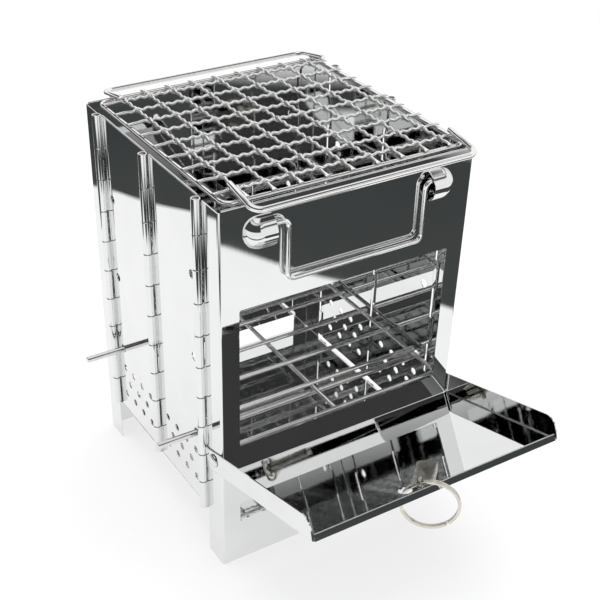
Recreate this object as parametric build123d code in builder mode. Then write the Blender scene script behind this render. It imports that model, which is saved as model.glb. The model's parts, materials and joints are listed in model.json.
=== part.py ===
"""Folding camping wood stove, set up for use.

Millimetres. X runs to the right, Y to the back, Z up. The origin is on the floor, in the middle of the
front panel's bottom edge.
"""

import os
from math import asin, cos, degrees, radians, sin, sqrt, tan

from build123d import *

# Body
width = 175.0  # over the side panels' outer faces
depth = 175.0  # over the front and rear panels' outer faces
height = 258.7
sheet = 0.8
bend_r = 1.2  # middle of the sheet
hem_height = 6.0
side_bottom = 36.0

# Openings in the front and rear panels
opening_side = 13.0  # side edge to the body's outer face
opening_corner = 1.2
window_bottom = 94.5
window_drop = 65.7  # upper edge below the top
slot_bottom = 32.5
slot_height = 15.5

# Piano hinges
hinge_inset = 21.4  # corner hinge pin behind the panel's outer face
barrel_r = 2.8
pin_r = 1.9
running = 0.05  # radial clearance of a pin or rivet
knuckle_count = 10
knuckle_gap = 0.6
leaf_gap = 0.3  # barrel to the neighbouring sheet's edge
pin_recess = 1.2

# Holes in the side panels
vent_r = 2.5
vent_z = 62.0
vent_pitch_y = 13.2
vent_pitch_z = 11.2
rod_hole_r = 3.0
rod_hole_z = 88.7
rod_hole_pitch = 57.7
rod_inset = 33.0  # from the panel's outer face

# Wire
wire_r = 1.5
mesh_r = 1.0
handle_r = 1.9
rod_r = 2.2
rod_reach = 27.5  # beyond the body on each side
loose = 0.3  # clearance of a piece that rests in or on another

# Fuel door
open_slope = 16.0  # above the horizontal, where the door's rear edge stops on the front panel
pivot_inset = 8.2
pivot_z = 83.2
pivot_to_plate = 8.5
door_length = 107.5
door_gap = 0.4  # flange to the stove's side
face_gap = 0.3  # plate to the front panel, when shut
flange_rise = 6.0  # above the pivot
flange_corner = 8.0
lip_height = 4.0
lip_inset = 1.0  # end of the lip from the flange
rivet_r = 2.0
rivet_head_r = 4.6
rivet_head_height = 2.0
rivet_head_slope = 50.0  # side of the head, from the rivet's axis
rivet_play = 0.2  # head to the flange
rivet_tail = 1.2
rivet_tail_r = 3.0

# Pull ring and its tag
ring_r = 18.0
ring_thick = 2.0
ring_width = 2.6
ring_x = -6.0
ring_turn = 40.0  # about Z, from the plane that the front panel stands in
ring_hole_r = 4.2
ring_over_lip = 0.8
ring_hole_drop = 8.0  # hole above the ring's middle
tag_length = 34.0
tag_width = 12.5
tag_thick = 2.5
tag_reach = 7.3  # along the ring's plane, from the ring's middle to the tag
tag_corner = 1.2
tag_rest = 0.2  # over the door
loop_bore = 2.6
loop_r = 4.2
loop_width = 3.0

# Bail handle on the front panel
ear_depth = 8.0
ear_half_height = 10.0
ear_inner_x = 54.0
ear_straight = 8.0
ear_drop = 18.4  # below the top
bail_forward = 3.3  # in front of the panel
bail_top = 13.7  # pivot below the top
bail_drop = 38.2
bail_inset = 6.65  # leg to the ear, with the bail in the middle
bail_shift = 2.75
bail_tail = 13.0
bail_journal = 5.0  # round end that turns in the ear
bail_journal_r = 1.75
bail_bend = 4.5

# Grill and grate
grill_side = 5.5  # frame wire to the body's outer face
grill_front_inset = 6.0  # frame wire to the front panel's outer face
grill_rear_inset = 5.0
grill_shift = 2.0
grill_sink = 0.4  # frame wire below the top
mesh_count = 9
mesh_edge_x = 12.4
mesh_edge_y = 10.0
mesh_shift = 1.2
mesh_seat = 6.0  # flat end of a crimped wire
crimp = 1.1
frame_bend = 6.0
grate_bar_first = 27.9
grate_bar_pitch = 28.6
grate_bars_count = 5
handle_inset = 6.0  # leg to the frame wire, with the handle in the middle
handle_shift = 5.5
handle_reach = 10.0  # bar to the panel's outer face
handle_leg = 18.5  # end to the panel's outer face
handle_bend = 7.0

# Worked out
front_y = -sheet / 2
rear_y = front_y + depth
rear_face = rear_y - sheet / 2
middle_y = (front_y + rear_y) / 2
half_width = width / 2
hinge_x = half_width - sheet + barrel_r
front_hinge = front_y + hinge_inset
rear_hinge = rear_y - hinge_inset
leaf_edge = barrel_r + leaf_gap
knuckle_pitch = (height - side_bottom) / knuckle_count
opening_width = width - 2 * opening_side
window_height = height - window_drop - window_bottom
ear_z = height - ear_drop
bail_z = height - bail_top
bail_y = front_y - bail_forward
rod_z = rod_hole_z - rod_hole_r + loose + rod_r
grate_z = rod_z + rod_r + loose + wire_r
grill_width = width - 2 * grill_side
grill_depth = depth - grill_front_inset - grill_rear_inset
grill_front = front_y + grill_front_inset
grill_z = height - grill_sink
mesh_z = grill_z + wire_r + mesh_r
handle_width = grill_width - 2 * handle_inset
pivot_y = front_y + pivot_inset
slope_sin = sin(radians(open_slope))
slope_cos = cos(radians(open_slope))


def panel_section(face_y, flange_end):
    """Section of the front or rear panel: its face and two side flanges."""
    side_x = half_width - sheet / 2
    with BuildSketch() as section:
        with BuildLine():
            corners = [(-side_x, flange_end), (-side_x, face_y), (side_x, face_y), (side_x, flange_end)]
            FilletPolyline(*corners, radius=bend_r)
        trace(line_width=sheet)
    return section.sketch


def knuckles(hinge_y, leaf, first):
    """Every second knuckle of a right-hand hinge. leaf is 1 for a sheet behind the pin, -1 in front."""
    tab = leaf_edge + sheet
    bore_r = pin_r + running
    with BuildPart() as rolled:
        for i in range(first, knuckle_count, 2):
            with BuildSketch(Plane.XY.offset(side_bottom + i * knuckle_pitch + knuckle_gap / 2)):
                with Locations((hinge_x, hinge_y)):
                    RegularPolygon(barrel_r, 10, major_radius=False, rotation=18)
                with Locations((half_width - sheet / 2, hinge_y + leaf * tab / 2)):
                    Rectangle(sheet, tab)
                with Locations((hinge_x, hinge_y)):
                    RegularPolygon(bore_r, 8, major_radius=False, rotation=22.5, mode=Mode.SUBTRACT)
            extrude(amount=knuckle_pitch - knuckle_gap)
    return rolled.part


def both_sides(part):
    """A right-hand form with its mirror image on the left."""
    with BuildPart() as pair:
        add(part)
        mirror(part, about=Plane.YZ)
    return pair.part


def half_panel(low_y, high_y, first_low, first_high, rod_y):
    """Right-hand half panel between two hinge pins, with its vents, rod holes and hem."""
    panel_y = (low_y + high_y) / 2
    panel_length = high_y - low_y - 2 * leaf_edge
    with BuildPart() as panel:
        with BuildSketch(Plane.YZ.offset(half_width - sheet)):
            with Locations((panel_y, (side_bottom + height) / 2)):
                Rectangle(panel_length, height - side_bottom)
            with Locations((panel_y, vent_z)):
                with GridLocations(vent_pitch_y, 2 * vent_pitch_z, 4, 2):
                    RegularPolygon(vent_r, 8, major_radius=False, rotation=22.5, mode=Mode.SUBTRACT)
                with GridLocations(vent_pitch_y, vent_pitch_z, 3, 1):
                    RegularPolygon(vent_r, 8, major_radius=False, rotation=22.5, mode=Mode.SUBTRACT)
            with Locations((rod_y, rod_hole_z + rod_hole_pitch)):
                with GridLocations(rod_hole_pitch, rod_hole_pitch, 1, 3):
                    RegularPolygon(rod_hole_r, 12, major_radius=False, rotation=15, mode=Mode.SUBTRACT)
        extrude(amount=sheet)
        with BuildSketch(Plane.XY.offset(height - hem_height)):
            with Locations((half_width - 1.5 * sheet, panel_y)):
                Rectangle(sheet, panel_length)
        extrude(amount=hem_height)
        add(knuckles(low_y, 1, first_low))
        add(knuckles(high_y, -1, first_high))
    return panel.part


def opening(face_y, bottom, opening_height):
    """Cutter for an opening in the panel at face_y."""
    with BuildPart() as cutter:
        with BuildSketch(Plane.XZ.offset(-face_y)) as outline:
            with Locations((0, bottom + opening_height / 2)):
                Rectangle(opening_width, opening_height)
            chamfer(outline.vertices(), opening_corner)
        extrude(amount=sheet, both=True)
    return cutter.part


def ear(radius, back_y):
    """Half barrel with a domed outer end on the right of the front panel, cut off behind back_y."""
    ear_y = front_y - ear_depth + ear_radius
    end_x = ear_inner_x + ear_straight
    turns = [radians(turn) for turn in (60, 30, 0)]
    dome = [(end_x + radius * cos(turn), radius * sin(turn)) for turn in turns]
    with BuildPart() as form:
        with BuildSketch(Plane(origin=(0, ear_y, ear_z), x_dir=(1, 0, 0), z_dir=(0, -1, 0))):
            with BuildLine():
                Polyline((ear_inner_x, 0), (ear_inner_x, radius), (end_x, radius), *dome, close=True)
            make_face()
        revolve(axis=Axis((0, ear_y, ear_z), (1, 0, 0)))
        split(bisect_by=Plane.XZ.offset(-back_y), keep=Keep.TOP)
    return form.part


def rounded(corners, bend, closed=False):
    """The corners of a wire's line with each square bend drawn as three chords."""
    spots = [Vector(*corner) for corner in corners]
    points = []
    for i, spot in enumerate(spots):
        if not closed and i in (0, len(spots) - 1):
            points.append(spot)
            continue
        back = (spots[i - 1] - spot).normalized() * bend
        ahead = (spots[(i + 1) % len(spots)] - spot).normalized() * bend
        for turn in (0, 30, 60, 90):
            points.append(spot + ahead * (1 - cos(radians(turn))) + back * (1 - sin(radians(turn))))
    return points


def bent_wire(points, radius, across, closed=False):
    """Wire along points, with two of its eight flats facing across."""
    with BuildPart() as wire:
        with BuildLine():
            Polyline(*points, close=closed)
        with BuildSketch(Plane(origin=points[0], x_dir=across, z_dir=points[1] - points[0])):
            RegularPolygon(radius, 8, major_radius=False, rotation=22.5)
        sweep(transition=Transition.RIGHT)
    return wire.part


def wire_loop(middle_x, front, z):
    """Closed loop of wire with rounded corners, the size of the grill."""
    left = middle_x - grill_width / 2
    right = middle_x + grill_width / 2
    rear = front + grill_depth
    corners = [(right, front, z), (right, rear, z), (left, rear, z), (left, front, z)]
    points = [Vector(middle_x, front, z)] + rounded(corners, frame_bend, True)
    return bent_wire(points, wire_r, (0, 0, 1), True)


def crimped_wire(length, crossings, first_up):
    """Wire along X from 0, bent up and down in turn where the crossing wires pass."""
    points = [(-wire_r, 0), (mesh_seat - wire_r, 0)]
    for i, x in enumerate(crossings):
        up = first_up if i % 2 == 0 else -first_up
        points.append((x, up * crimp))
    points += [(length + wire_r - mesh_seat, 0), (length + wire_r, 0)]
    with BuildPart() as wire:
        with BuildLine(Plane.XZ):
            Polyline(*points)
        with BuildSketch(Plane.YZ.offset(-wire_r)):
            RegularPolygon(mesh_r, 6, major_radius=False)
        sweep(transition=Transition.RIGHT)
    return wire.part


def handle(panel_y, wire_y, inward):
    """U-shaped grill handle that leans from the panel's top edge onto the first crossing wire."""
    run = (wire_y - panel_y) * inward - mesh_r * tan(radians(30))
    rise = mesh_z + mesh_r - height - loose
    seat = (handle_shift, panel_y, height + loose)
    lean = Plane(origin=seat, x_dir=(1, 0, 0), z_dir=(0, -inward * rise, run))
    side = handle_width / 2
    bar = -inward * handle_reach
    end = inward * handle_leg
    corners = [(-side, end), (-side, bar), (side, bar), (side, end)]
    spots = [lean.from_local_coords(Vector(x, y, handle_r)) for x, y in corners]
    return bent_wire(rounded(spots, handle_bend), handle_r, (1, 0, 0))


parts = []

# Front panel, with the window, the ash slot and the two pressed ears
ear_radius = (ear_depth**2 + ear_half_height**2) / (2 * ear_depth)
with BuildPart() as front_panel:
    extrude(panel_section(0, front_hinge - leaf_edge), amount=height)
    add(opening(0, window_bottom, window_height), mode=Mode.SUBTRACT)
    add(opening(0, slot_bottom, slot_height), mode=Mode.SUBTRACT)
    with BuildSketch(Plane.YZ):
        with Locations((pivot_y, pivot_z)):
            RegularPolygon(rivet_r + running, 12, major_radius=False)
    extrude(amount=width, both=True, mode=Mode.SUBTRACT)
    with BuildSketch(Plane.XY.offset(height - hem_height)):
        with Locations((0, sheet)):
            Rectangle(width - 2 * (sheet + bend_r), sheet)
    extrude(amount=hem_height)
    add(both_sides(ear(ear_radius, 0)))
    add(both_sides(ear(ear_radius - sheet, sheet)), mode=Mode.SUBTRACT)
    add(both_sides(knuckles(front_hinge, -1, 0)))
front_panel.part.label = "front_panel"
parts.append(front_panel.part)

# Rear panel, with an ash slot only
with BuildPart() as rear_panel:
    extrude(panel_section(rear_face, rear_hinge + leaf_edge), amount=height)
    add(opening(rear_face, slot_bottom, slot_height), mode=Mode.SUBTRACT)
    with BuildSketch(Plane.XY.offset(height - hem_height)):
        with Locations((0, rear_face - sheet)):
            Rectangle(width - 2 * (sheet + bend_r), sheet)
    extrude(amount=hem_height)
    add(both_sides(knuckles(rear_hinge, 1, 0)))
rear_panel.part.label = "rear_panel"
parts.append(rear_panel.part)

# Side panels: two hinged halves on each side
with BuildPart() as side_front_right:
    add(half_panel(front_hinge, middle_y, 1, 0, front_y + rod_inset))
side_front_right.part.label = "side_front_right"
parts.append(side_front_right.part)

with BuildPart() as side_rear_right:
    add(half_panel(middle_y, rear_hinge, 1, 1, rear_y - rod_inset))
side_rear_right.part.label = "side_rear_right"
parts.append(side_rear_right.part)

with BuildPart() as side_front_left:
    mirror(side_front_right.part, about=Plane.YZ)
side_front_left.part.label = "side_front_left"
parts.append(side_front_left.part)

with BuildPart() as side_rear_left:
    mirror(side_rear_right.part, about=Plane.YZ)
side_rear_left.part.label = "side_rear_left"
parts.append(side_rear_left.part)

# Hinge pins, one through each row of knuckles
for side, pin_x in (("left", -hinge_x), ("right", hinge_x)):
    for place, pin_y in (("front", front_hinge), ("middle", middle_y), ("rear", rear_hinge)):
        with BuildPart() as hinge_pin:
            with BuildSketch(Plane.XY.offset(side_bottom + pin_recess)):
                with Locations((pin_x, pin_y)):
                    RegularPolygon(pin_r, 8, major_radius=False, rotation=22.5)
            extrude(amount=height - side_bottom - 2 * pin_recess)
        hinge_pin.part.label = "hinge_pin_" + side + "_" + place
        parts.append(hinge_pin.part)

# Bottom plate, lying on the lower edges of both ash slots with a tab through each
with BuildPart() as bottom_plate:
    with BuildSketch(Plane.XY.offset(slot_bottom)) as plate_outline:
        with Locations((0, middle_y)):
            Rectangle(width - 2 * (sheet + loose), depth - 2 * (sheet + loose))
        chamfer(plate_outline.vertices(), bend_r)
        with Locations((0, middle_y)):
            Rectangle(opening_width - 2 * opening_corner, depth)
    extrude(amount=sheet)
bottom_plate.part.label = "bottom_plate"
parts.append(bottom_plate.part)

# Fuel door: a tray that hangs on two rivets, its rear edge stopped by the front panel
forward = Vector(0, -slope_cos, slope_sin)
upward = Vector(0, slope_sin, slope_cos)
pivot = Vector(0, pivot_y, pivot_z)
door_side = Plane(origin=pivot, x_dir=forward, z_dir=(-1, 0, 0))
door_face = Plane(origin=pivot, x_dir=(1, 0, 0), z_dir=upward)
door_across = Plane(origin=pivot, x_dir=(1, 0, 0), z_dir=forward)
plate_out = pivot_to_plate + sheet
plate_rear = (pivot_inset + face_gap - pivot_to_plate * slope_sin) / slope_cos
plate_front = plate_rear + door_length
flange_in = half_width + door_gap
flange_back = sqrt(plate_out**2 - flange_rise**2)
flange_turn = degrees(asin(flange_rise / plate_out))

# The ring hangs over the lip and through a hole behind it
lip_top = pivot + forward * (plate_front - sheet / 2) - upward * (pivot_to_plate - lip_height)
ring_middle_r = ring_r - ring_thick / 2
turn_sin = sin(radians(ring_turn))
turn_cos = cos(radians(ring_turn))
ring_centre = Vector(ring_x, lip_top.Y, lip_top.Z + ring_over_lip - (ring_r - ring_thick))
hole_side = sqrt(ring_middle_r**2 - ring_hole_drop**2)
hole_x = ring_x - hole_side * turn_cos
hole_u = (pivot_y - pivot_to_plate * slope_sin - ring_centre.Y - hole_side * turn_sin) / slope_cos

with BuildPart() as fuel_door:
    with BuildSketch(door_across.offset(-plate_out)):
        with BuildLine():
            FilletPolyline(
                (-flange_in - sheet / 2, flange_rise),
                (-flange_in - sheet / 2, -plate_out + sheet / 2),
                (flange_in + sheet / 2, -plate_out + sheet / 2),
                (flange_in + sheet / 2, flange_rise),
                radius=bend_r,
            )
        trace(line_width=sheet)
    extrude(amount=plate_out + plate_front)
    with BuildSketch(door_side):
        with BuildLine():
            Polyline((0, -plate_out), (plate_front, -plate_out), (plate_front, flange_rise - flange_corner))
            CenterArc((plate_front - flange_corner, flange_rise - flange_corner), flange_corner, 0, 90)
            Line((plate_front - flange_corner, flange_rise), (-flange_back, flange_rise))
            CenterArc((0, 0), plate_out, 180 - flange_turn, 90 + flange_turn)
        make_face()
    extrude(amount=width, both=True, mode=Mode.INTERSECT)
    with BuildSketch(door_face.offset(-plate_out)):
        with Locations((0, plate_out)):
            Rectangle(2 * flange_in, 2 * (plate_out + plate_rear), mode=Mode.ADD)
    extrude(amount=plate_out, mode=Mode.SUBTRACT)
    with BuildSketch(door_across.offset(plate_front - sheet)):
        with Locations((0, (lip_height - pivot_to_plate - plate_out) / 2)):
            Rectangle(2 * (flange_in - lip_inset), lip_height + sheet)
    extrude(amount=sheet)
    with BuildSketch(door_face):
        with Locations((hole_x, -hole_u)):
            RegularPolygon(ring_hole_r, 12, major_radius=False)
    extrude(amount=-2 * plate_out, mode=Mode.SUBTRACT)
    with BuildSketch(door_side):
        Circle(rivet_r + running)
    extrude(amount=width, both=True, mode=Mode.SUBTRACT)
fuel_door.part.label = "fuel_door"
parts.append(fuel_door.part)

# Rivets that the door turns on, closed over on the inside
rivet_in = half_width - sheet
rivet_out = flange_in + sheet + rivet_play
with BuildPart() as door_rivet_right:
    with BuildSketch(Plane.YZ.offset(rivet_in)):
        with Locations((pivot_y, pivot_z)):
            RegularPolygon(rivet_r, 16)
    extrude(amount=rivet_out - rivet_in)
    with BuildSketch(Plane.YZ.offset(rivet_out)):
        with Locations((pivot_y, pivot_z)):
            RegularPolygon(rivet_head_r, 16)
    extrude(amount=rivet_head_height, taper=rivet_head_slope)
    with BuildSketch(Plane.YZ.offset(rivet_in - rivet_tail)):
        with Locations((pivot_y, pivot_z)):
            RegularPolygon(rivet_tail_r, 12)
    extrude(amount=rivet_tail)
door_rivet_right.part.label = "door_rivet_right"
parts.append(door_rivet_right.part)

with BuildPart() as door_rivet_left:
    mirror(door_rivet_right.part, about=Plane.YZ)
door_rivet_left.part.label = "door_rivet_left"
parts.append(door_rivet_left.part)

# Pull ring
ring_plane = Plane(origin=ring_centre, x_dir=(turn_cos, -turn_sin, 0), z_dir=(-turn_sin, -turn_cos, 0))
with BuildPart() as split_ring:
    with BuildSketch(ring_plane):
        RegularPolygon(ring_r, 36, major_radius=False)
        RegularPolygon(ring_r - ring_thick, 36, major_radius=False, mode=Mode.SUBTRACT)
    extrude(amount=ring_width / 2, both=True)
split_ring.part.label = "split_ring"
parts.append(split_ring.part)

# Tag: its loop goes round the ring behind the lip, its plate lies on the door
tag_angle = asin(tag_reach / ring_middle_r)
ring_way = Vector(turn_cos, -turn_sin, 0)
tag_point = ring_centre - ring_way * tag_reach + Vector(0, 0, ring_middle_r * cos(tag_angle))
tangent = ring_way * cos(tag_angle) + Vector(0, 0, sin(tag_angle))
tag_axis = (tangent - upward * tangent.dot(upward)).normalized()
tag_plane = Plane(origin=tag_point, x_dir=tag_axis, z_dir=upward)
tag_height = (tag_point - pivot).dot(upward) + pivot_to_plate - tag_rest
loop_plane = Plane(origin=tag_point, x_dir=tag_plane.y_dir, z_dir=tag_axis)
with BuildPart() as ring_tag:
    with BuildSketch(tag_plane.offset(-tag_height)) as tag_outline:
        with Locations((0, (tag_length + loop_bore) / 2)):
            Rectangle(tag_width, tag_length - loop_bore)
        chamfer(tag_outline.vertices(), tag_corner)
    extrude(amount=tag_thick)
    with BuildSketch(loop_plane):
        RegularPolygon(loop_r, 12, major_radius=False)
        with Locations((loop_r / 2, -loop_r / 2)):
            Rectangle(loop_r, loop_r)
    extrude(amount=loop_width / 2, both=True)
    with BuildSketch(loop_plane):
        Circle(loop_bore)
    extrude(amount=tag_width, both=True, mode=Mode.SUBTRACT)
ring_tag.part.label = "ring_tag"
parts.append(ring_tag.part)

# Bail handle, its round ends inside the ears
left_leg = bail_shift - ear_inner_x + bail_inset
right_leg = bail_shift + ear_inner_x - bail_inset
bail_low = bail_z - bail_drop
bail_corners = [
    (left_leg - bail_tail, bail_y, bail_z),
    (left_leg, bail_y, bail_z),
    (left_leg, bail_y, bail_low),
    (right_leg, bail_y, bail_low),
    (right_leg, bail_y, bail_z),
    (right_leg + bail_tail, bail_y, bail_z),
]
with BuildPart() as bail_handle:
    add(bent_wire(rounded(bail_corners, bail_bend), wire_r, (0, 1, 0)))
    for journal_x in (left_leg - bail_tail, right_leg + bail_tail - bail_journal):
        with BuildSketch(Plane.YZ.offset(journal_x)):
            with Locations((bail_y, bail_z)):
                Circle(bail_journal_r)
        extrude(amount=bail_journal)
bail_handle.part.label = "bail_handle"
parts.append(bail_handle.part)

# Rods through the side panels, under the grate
for place, rod_y in (("front", front_y + rod_inset), ("rear", rear_y - rod_inset)):
    with BuildPart() as support_rod:
        with BuildSketch(Plane.YZ):
            with Locations((rod_y, rod_z)):
                Circle(rod_r)
        extrude(amount=half_width + rod_reach, both=True)
    support_rod.part.label = "support_rod_" + place
    parts.append(support_rod.part)

# Grate, lying on the rods
grate_front = middle_y - grill_depth / 2
with BuildPart() as grate_frame:
    add(wire_loop(0, grate_front, grate_z))
grate_frame.part.label = "grate_frame"
parts.append(grate_frame.part)

with BuildPart() as grate_centre_wire:
    with BuildSketch(Plane.XZ.offset(-grate_front - wire_r)):
        with Locations((0, grate_z)):
            RegularPolygon(wire_r, 8, major_radius=False, rotation=22.5)
    extrude(amount=-(grill_depth - 2 * wire_r))
grate_centre_wire.part.label = "grate_centre_wire"
parts.append(grate_centre_wire.part)

with BuildPart() as grate_bars:
    with BuildSketch(Plane.YZ):
        for i in range(grate_bars_count):
            with Locations((grate_front + grate_bar_first + i * grate_bar_pitch, grate_z + 2 * wire_r)):
                RegularPolygon(wire_r, 8, major_radius=False, rotation=22.5)
    extrude(amount=grill_width / 2 + wire_r, both=True)
grate_bars.part.label = "grate_bars"
parts.append(grate_bars.part)

# Grill: a frame inside the top edges, crimped mesh, and two handles that lean on the panels
with BuildPart() as grill_frame:
    add(wire_loop(grill_shift, grill_front, grill_z))
grill_frame.part.label = "grill_frame"
parts.append(grill_frame.part)

grill_left = grill_shift - grill_width / 2
mesh_pitch_x = (grill_width - 2 * mesh_edge_x) / (mesh_count - 1)
mesh_pitch_y = (grill_depth - 2 * mesh_edge_y) / (mesh_count - 1)
crossings_x = [mesh_edge_x + mesh_shift + i * mesh_pitch_x for i in range(mesh_count)]
crossings_y = [mesh_edge_y + i * mesh_pitch_y for i in range(mesh_count)]
with BuildPart() as grill_wires_cross:
    for i, wire_y in enumerate(crossings_y):
        with Locations((grill_left, grill_front + wire_y, mesh_z)):
            add(crimped_wire(grill_width, crossings_x, -1 if i % 2 == 0 else 1))
grill_wires_cross.part.label = "grill_wires_cross"
parts.append(grill_wires_cross.part)

with BuildPart() as grill_wires_long:
    for i, wire_x in enumerate(crossings_x):
        with Locations(Location((grill_left + wire_x, grill_front, mesh_z), (0, 0, 90))):
            add(crimped_wire(grill_depth, crossings_y, 1 if i % 2 == 0 else -1))
grill_wires_long.part.label = "grill_wires_long"
parts.append(grill_wires_long.part)

with BuildPart() as grill_handle_front:
    add(handle(front_y, grill_front + crossings_y[0], 1))
grill_handle_front.part.label = "grill_handle_front"
parts.append(grill_handle_front.part)

with BuildPart() as grill_handle_rear:
    add(handle(rear_y, grill_front + crossings_y[-1], -1))
grill_handle_rear.part.label = "grill_handle_rear"
parts.append(grill_handle_rear.part)

os.makedirs("parts", exist_ok=True)
for part in parts:
    export_step(part, "parts/" + part.label + ".step")
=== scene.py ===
"""Folding camping wood stove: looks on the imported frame. Metres, X right, Y back, Z up."""

import json
from math import cos, pi, radians, sin

import bmesh
import bpy
from mathutils import Matrix, Vector


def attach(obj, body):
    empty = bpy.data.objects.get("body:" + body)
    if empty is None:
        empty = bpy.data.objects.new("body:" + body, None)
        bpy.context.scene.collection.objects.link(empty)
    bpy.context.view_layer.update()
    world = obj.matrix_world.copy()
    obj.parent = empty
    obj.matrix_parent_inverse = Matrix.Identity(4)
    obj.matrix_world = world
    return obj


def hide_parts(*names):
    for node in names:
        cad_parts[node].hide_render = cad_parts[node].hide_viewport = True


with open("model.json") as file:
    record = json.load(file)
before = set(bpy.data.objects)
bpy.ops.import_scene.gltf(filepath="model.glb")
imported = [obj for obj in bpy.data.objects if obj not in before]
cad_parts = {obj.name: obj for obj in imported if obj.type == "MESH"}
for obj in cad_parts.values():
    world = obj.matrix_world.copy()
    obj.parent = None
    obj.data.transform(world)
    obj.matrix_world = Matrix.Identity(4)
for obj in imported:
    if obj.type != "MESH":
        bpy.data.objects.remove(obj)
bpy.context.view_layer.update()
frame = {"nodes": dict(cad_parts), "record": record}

nodes = frame["nodes"]


# Materials


class NodeTree:
    """Short calls for the nodes that the finishes, the floor and the world share."""

    def __init__(self, tree):
        self.tree = tree
        self.tree.nodes.clear()

    def add(self, kind):
        return self.tree.nodes.new(kind)

    def link(self, source, target):
        self.tree.links.new(source, target)

    def computed(self, operation, first, *others):
        """First and second through a math node, and that result with the third through another, and so on."""
        for second in others:
            node = self.add("ShaderNodeMath")
            node.operation = operation
            for value, socket in zip((first, second), node.inputs):
                if isinstance(value, (int, float)):
                    socket.default_value = value
                else:
                    self.link(value, socket)
            first = node.outputs[0]
        return first

    def between(self, value, low_in, high_in, low_out=0.0, high_out=1.0):
        node = self.add("ShaderNodeMapRange")
        self.link(value, node.inputs["Value"])
        for socket, number in zip(("From Min", "From Max", "To Min", "To Max"), (low_in, high_in, low_out, high_out)):
            node.inputs[socket].default_value = number
        return node.outputs["Result"]

    def blended(self, amount, first, second):
        node = self.add("ShaderNodeMixShader")
        self.link(amount, node.inputs["Fac"])
        self.link(first.outputs[0], node.inputs[1])
        self.link(second.outputs[0], node.inputs[2])
        return node

    def squared_to_camera(self, coords):
        """Coordinates turned about Z, so that X runs across the picture and Y away from the camera."""
        mapping = self.add("ShaderNodeMapping")
        mapping.inputs["Rotation"].default_value = (0, 0, CAMERA_TURN)
        self.link(coords, mapping.inputs["Vector"])
        split = self.add("ShaderNodeSeparateXYZ")
        self.link(mapping.outputs["Vector"], split.inputs["Vector"])
        return split.outputs


class Shading(NodeTree):
    """A node material with Object coordinates."""

    def __init__(self, name):
        self.material = bpy.data.materials.new(name)
        self.material.use_nodes = True
        super().__init__(self.material.node_tree)
        self.out = self.add("ShaderNodeOutputMaterial")
        self.shader = self.add("ShaderNodeBsdfPrincipled")
        self.link(self.shader.outputs["BSDF"], self.out.inputs["Surface"])
        self.coords = self.add("ShaderNodeTexCoord").outputs["Object"]

    def stretched(self, scale):
        mapping = self.add("ShaderNodeMapping")
        self.link(self.coords, mapping.inputs["Vector"])
        mapping.inputs["Scale"].default_value = scale
        return mapping.outputs["Vector"]

    def noise(self, scale, detail=3.0, stretch=(1, 1, 1)):
        node = self.add("ShaderNodeTexNoise")
        self.link(self.stretched(stretch), node.inputs["Vector"])
        node.inputs["Scale"].default_value = scale
        node.inputs["Detail"].default_value = detail
        return node.outputs["Fac"]

    def mixed(self, value, dark, light):
        node = self.add("ShaderNodeMix")
        node.data_type = "RGBA"
        self.link(value, node.inputs["Factor"])
        node.inputs["A"].default_value = (*dark, 1)
        node.inputs["B"].default_value = (*light, 1)
        return node.outputs["Result"]

    def bump(self, height, distance, strength=1.0, below=None):
        node = self.add("ShaderNodeBump")
        self.link(height, node.inputs["Height"])
        node.inputs["Distance"].default_value = distance
        node.inputs["Strength"].default_value = strength
        if below is not None:
            self.link(below, node.inputs["Normal"])
        self.link(node.outputs["Normal"], self.shader.inputs["Normal"])
        return node.outputs["Normal"]


def metal(name, tone, dark, light, wear, rough):
    """Bare metal whose colour and roughness wander between two values, each by its own noise.

    tone and wear are a noise's scale and detail; rough is the noise's low and high value and the roughness at each.
    """
    s = Shading(name)
    s.shader.inputs["Metallic"].default_value = 1.0
    s.link(s.mixed(s.noise(*tone), dark, light), s.shader.inputs["Base Color"])
    s.link(s.between(s.noise(*wear), *rough), s.shader.inputs["Roughness"])
    return s


def polished_sheet():
    """Mirror-polished stainless sheet: handling marks, a slight buckle and faint polishing lines."""
    s = metal(
        "polished_sheet",
        tone=(35.0, 4.0),
        dark=(0.76, 0.77, 0.765),
        light=(0.84, 0.85, 0.845),
        wear=(18.0, 5.0),
        rough=(0.35, 0.75, 0.012, 0.05),
    )
    buckle = s.bump(s.noise(9.0, 0.0), 0.0004, 0.5)
    s.bump(s.noise(900.0, 2.0, (1, 1, 0.03)), 0.00001, 0.25, buckle)
    return s.material


def bright_wire():
    """Electropolished wire with fine drawing lines."""
    s = metal(
        "bright_wire",
        tone=(120.0, 3.0),
        dark=(0.86, 0.86, 0.85),
        light=(0.95, 0.95, 0.94),
        wear=(260.0, 3.0),
        rough=(0.3, 0.7, 0.07, 0.16),
    )
    s.bump(s.noise(1500.0, 2.0), 0.00001, 0.3)
    return s.material


def turned_fittings():
    """Pins, rivets and rods: bright bar with turning marks."""
    s = metal(
        "turned_fittings",
        tone=(200.0, 3.0),
        dark=(0.66, 0.66, 0.65),
        light=(0.84, 0.84, 0.83),
        wear=(400.0, 3.0),
        rough=(0.3, 0.7, 0.10, 0.24),
    )
    s.bump(s.noise(1800.0, 2.0, (0.1, 1, 1)), 0.00001, 0.3)
    return s.material


def plated_ring():
    """Nickel plate, a little warm, with wear on it."""
    s = metal(
        "plated_ring",
        tone=(300.0, 4.0),
        dark=(0.56, 0.53, 0.45),
        light=(0.78, 0.76, 0.69),
        wear=(500.0, 3.0),
        rough=(0.3, 0.7, 0.12, 0.28),
    )
    s.bump(s.noise(1200.0, 2.0), 0.00002, 0.3)
    return s.material


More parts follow.
